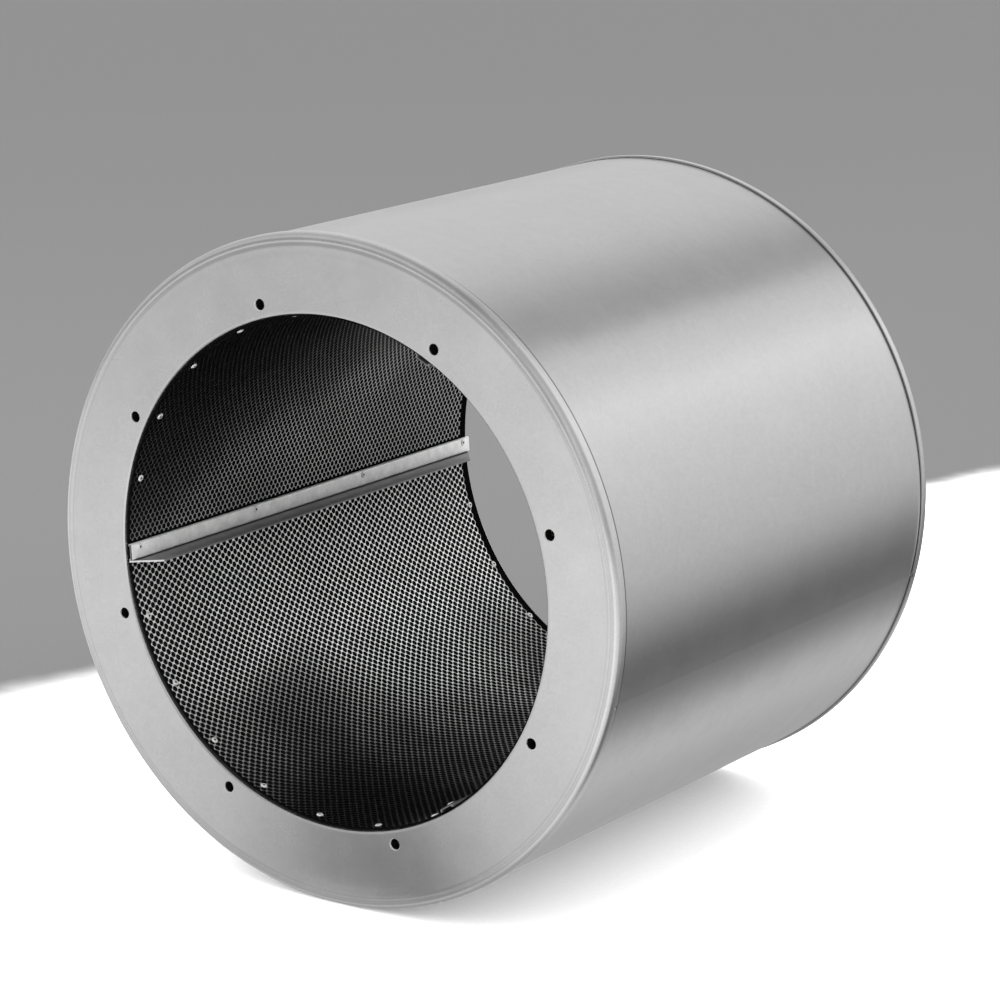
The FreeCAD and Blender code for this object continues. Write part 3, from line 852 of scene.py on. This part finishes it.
studio = {
    "floorLevel": -262 * mm,
    "floorHalf": 12,
    "white": 0.95,
    "grey": 0.103,
    # the paper turns grey beyond a straight line, except inside a round patch behind the part
    "fadeFrom": (-0.574, 0.310),
    "fadeTo": (-0.252, 1.493),
    "fadeWidth": 0.05,
    "ragged": 0.05, "raggedScale": 9.0,
    "grain": 0.03, "grainScale": 260.0,
    "patchCentre": (-0.347, 0.86),
    "patchRadius": 0.33,
    "sky": 2.7,
    "cameraGrey": 0.29,
}
keyLight = {"place": (-1.2, 0.9, 2.4), "aim": (0.0, 0.25, 0.0), "size": (1.8, 1.8), "power": 30}
camera = {
    "place": (1.6657, -2.1724, 0.7249),
    "swung": 34.74, "down": 13.70, "rolled": 0.34,
    "lens": 134.69, "sensor": 36, "reach": 60,
}
# Light that the metal mirrors, as levels against where the metal looks for it
sheen = {
    # angle from the top on the casing; a mirror turns what it shows by twice its own angle
    "round": [(-35, 0.55), (-25, 0.64), (-20, 0.52), (-15, 0.45), (-10, 0.53), (-5, 0.69), (15, 0.73), (20, 0.72),
              (25, 0.67), (35, 0.40), (41, 0.42), (43.6, 0.74), (50, 0.83), (56, 0.99), (65, 0.84), (85, 0.62),
              (90, 0.53)],
    "turnedBack": 66.9,
    # distance to the right, on the floor beside and behind the part
    "beside": [(-5.0, 0.55), (-1.74, 0.58), (-1.09, 0.72), (-0.59, 0.63), (-0.45, 0.58), (0.10, 0.45), (0.18, 0.50),
               (0.241, 0.67), (0.282, 0.58), (0.333, 0.32), (0.40, 0.17), (0.50, 0.17), (0.627, 0.30), (0.88, 0.52),
               (1.49, 0.64), (3.0, 0.67)],
    # angle from the top on the front ring's face
    "face": [(-180, 0.29), (-160, 0.55), (-140, 0.72), (-100, 0.85), (-70, 0.78), (-40, 0.52), (-20, 0.32),
             (0, 0.49), (40, 0.77), (80, 0.90), (105, 0.90), (118, 0.76), (138, 0.69), (149, 0.42), (160, 0.20),
             (180, 0.29)],
    "frontSky": 0.6, "frontBlend": (-0.25, 0.35),  # the sky is weaker in front
    "floorHalf": 11.9, "floorBlend": (-0.06, -0.01),  # the floor's two ramps meet just before the front face
}


def stageSheet(name, size, level):
    bm = bmesh.new()
    bmesh.ops.create_grid(bm, x_segments=1, y_segments=1, size=size)
    bmesh.ops.translate(bm, vec=(0, 0, level), verts=bm.verts)
    mesh = bpy.data.meshes.new(name)
    bm.to_mesh(mesh)
    bm.free()
    sheet = bpy.data.objects.new(name, mesh)
    scene.collection.objects.link(sheet)
    return sheet


def studioFloor():
    floor = stageSheet("studio_floor", studio["floorHalf"], studio["floorLevel"])
    material, tree, shader = newMaterial("studio_paper")
    place = addNode(tree, "ShaderNodeTexCoord").outputs["Object"]
    start, end = Vector(studio["fadeFrom"]), Vector(studio["fadeTo"])
    line = (end - start).normalized()
    beside = Vector((line.y, -line.x))
    dot = addNode(tree, "ShaderNodeVectorMath", operation="DOT_PRODUCT")
    dot.inputs[1].default_value = (beside.x, beside.y, 0)
    tree.links.new(place, dot.inputs[0])
    straight = maths(tree, "SUBTRACT", dot.outputs["Value"], beside.dot(start))
    far = distanceTo(tree, place, (*studio["patchCentre"], studio["floorLevel"]))
    rounded = maths(tree, "SUBTRACT", far, studio["patchRadius"])
    ragged = maths(tree, "SUBTRACT", noise(tree, place, studio["raggedScale"], 3.0), 0.5)
    ragged = maths(tree, "MULTIPLY", ragged, studio["ragged"])
    fade = rescale(tree, maths(tree, "ADD", maths(tree, "MINIMUM", straight, rounded), ragged),
                   (-studio["fadeWidth"], studio["fadeWidth"]), (studio["grey"], studio["white"]), "SMOOTHSTEP")
    grain = remap(tree, noise(tree, place, studio["grainScale"], 2.0), 1 - studio["grain"], 1 + studio["grain"])
    tree.links.new(grey(tree, maths(tree, "MULTIPLY", fade, grain)), shader.inputs["Base Color"])
    shader.inputs["Roughness"].default_value = 0.9
    shader.inputs["Specular IOR Level"].default_value = 0.1
    floor.data.materials.append(material)


def studioWorld():
    world = bpy.data.worlds.new("studio_world")
    scene.world = world
    world.use_nodes = True
    tree = world.node_tree
    tree.nodes.clear()
    spot = separate(tree, addNode(tree, "ShaderNodeTexCoord").outputs["Generated"])
    angle = maths(tree, "ARCTAN2", spot["X"], spot["Z"])
    levels = [(math.radians(2 * theta - sheen["turnedBack"]), level) for theta, level in sheen["round"]]
    glossy = addNode(tree, "ShaderNodeBackground")
    tree.links.new(greyRamp(tree, angle, levels, -math.pi, math.pi), glossy.inputs["Color"])
    strength = rescale(tree, spot["Y"], sheen["frontBlend"], (sheen["frontSky"], 1.0), "SMOOTHSTEP")
    tree.links.new(strength, glossy.inputs["Strength"])
    soft = addNode(tree, "ShaderNodeBackground", Color=(1, 1, 1, 1), Strength=studio["sky"])
    seen = addNode(tree, "ShaderNodeBackground", Color=(studio["cameraGrey"],) * 3 + (1,), Strength=1.0)
    # soft light by default, the sheen for reflections and plain grey for the camera
    path = addNode(tree, "ShaderNodeLightPath")
    shown = soft.outputs["Background"]
    for ray, background in (("Is Glossy Ray", glossy), ("Is Camera Ray", seen)):
        mix = addNode(tree, "ShaderNodeMixShader")
        tree.links.new(path.outputs[ray], mix.inputs["Fac"])
        tree.links.new(shown, mix.inputs[1])
        tree.links.new(background.outputs["Background"], mix.inputs[2])
        shown = mix.outputs["Shader"]
    tree.links.new(shown, addNode(tree, "ShaderNodeOutputWorld").inputs["Surface"])


# Glow just over the floor that only reflections see: one ramp beside and behind the part, one in front of it
def floorSheen():
    card = stageSheet("floor_sheen", sheen["floorHalf"], studio["floorLevel"] + 1 * mm)
    card.visible_camera = False
    card.visible_diffuse = False
    card.visible_shadow = False
    card.visible_transmission = False
    material = bpy.data.materials.new("floor_sheen")
    material.use_nodes = True
    tree = material.node_tree
    tree.nodes.clear()
    spot = separate(tree, addNode(tree, "ShaderNodeTexCoord").outputs["Object"])
    behind = greyRamp(tree, spot["X"], sheen["beside"], sheen["beside"][0][0], sheen["beside"][-1][0])
    # the place on the ring's face that mirrors this spot of floor lies along the slope of the view
    viewX, viewY, viewZ = camera["place"]
    across = maths(tree, "ADD", spot["X"], maths(tree, "MULTIPLY", spot["Y"], viewX / viewY))
    above = maths(tree, "ADD", maths(tree, "MULTIPLY", spot["Y"], viewZ / viewY), studio["floorLevel"])
    levels = [(math.radians(theta), level) for theta, level in sheen["face"]]
    ahead = greyRamp(tree, maths(tree, "ARCTAN2", across, above), levels, -math.pi, math.pi)
    blend = addNode(tree, "ShaderNodeMix", data_type="RGBA")
    tree.links.new(rescale(tree, spot["Y"], sheen["floorBlend"], (0, 1), "SMOOTHSTEP"), blend.inputs["Factor"])
    tree.links.new(ahead, blend.inputs["A"])
    tree.links.new(behind, blend.inputs["B"])
    glow = addNode(tree, "ShaderNodeEmission", Strength=1.0)
    tree.links.new(blend.outputs["Result"], glow.inputs["Color"])
    output = addNode(tree, "ShaderNodeOutputMaterial")
    tree.links.new(glow.outputs["Emission"], output.inputs["Surface"])
    card.data.materials.append(material)


def studioLight():
    data = bpy.data.lights.new("key_light", "AREA")
    data.shape = "RECTANGLE"
    data.size, data.size_y = keyLight["size"]
    data.energy = keyLight["power"]
    lamp = bpy.data.objects.new("key_light", data)
    scene.collection.objects.link(lamp)
    lamp.location = keyLight["place"]
    lamp.rotation_euler = (Vector(keyLight["aim"]) - lamp.location).to_track_quat("-Z", "Y").to_euler()
    lamp.visible_glossy = False


def studioCamera():
    data = bpy.data.cameras.new("studio_camera")
    data.lens = camera["lens"]
    data.sensor_width = camera["sensor"]
    data.clip_end = camera["reach"]
    eye = bpy.data.objects.new("studio_camera", data)
    scene.collection.objects.link(eye)
    eye.location = camera["place"]
    aimed = turn(camera["swung"], "Z") @ turn(90 - camera["down"], "X") @ turn(-camera["rolled"], "Z")
    eye.rotation_euler = aimed.to_euler()
    scene.camera = eye


studioFloor()
studioWorld()
floorSheen()
studioLight()
studioCamera()
scene.view_settings.view_transform = "Standard"
print("studio ready")
